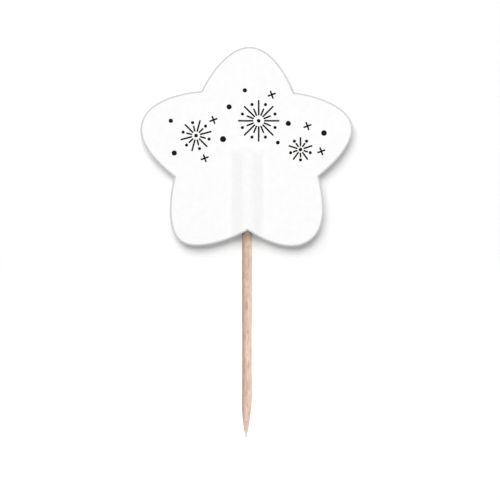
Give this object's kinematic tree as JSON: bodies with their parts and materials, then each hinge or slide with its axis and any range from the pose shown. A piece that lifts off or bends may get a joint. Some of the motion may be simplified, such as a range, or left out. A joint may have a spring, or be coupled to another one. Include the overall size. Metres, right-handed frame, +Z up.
{
  "type": "cupcake pick",
  "caption": "Star-shaped card on a pointed wooden toothpick, pushed upright into a cupcake or snack as decoration.",
  "frame": {"origin": "the lower point of the toothpick, on its axis", "axes": "+Z up along the toothpick, from its point to the star; -Y out of the star's printed front; +X to the right as seen from the front"},
  "size_m": [0.0487, 0.003, 0.0897],
  "materials": {
    "birch": "raw birch, fine straight grain, matt",
    "front_card": "smooth white card, printed in near-black",
    "rear_card": "smooth white card, unprinted",
    "adhesive": "thin milky glue, slightly glossy",
    "ink": "near-black printing ink, satin"
  },
  "bodies": {
    "root": {"toothpick": "birch", "front_card": "front_card", "front_adhesive": "adhesive", "rear_adhesive": "adhesive", "rear_card": "rear_card"}
  },
  "joints": []
}
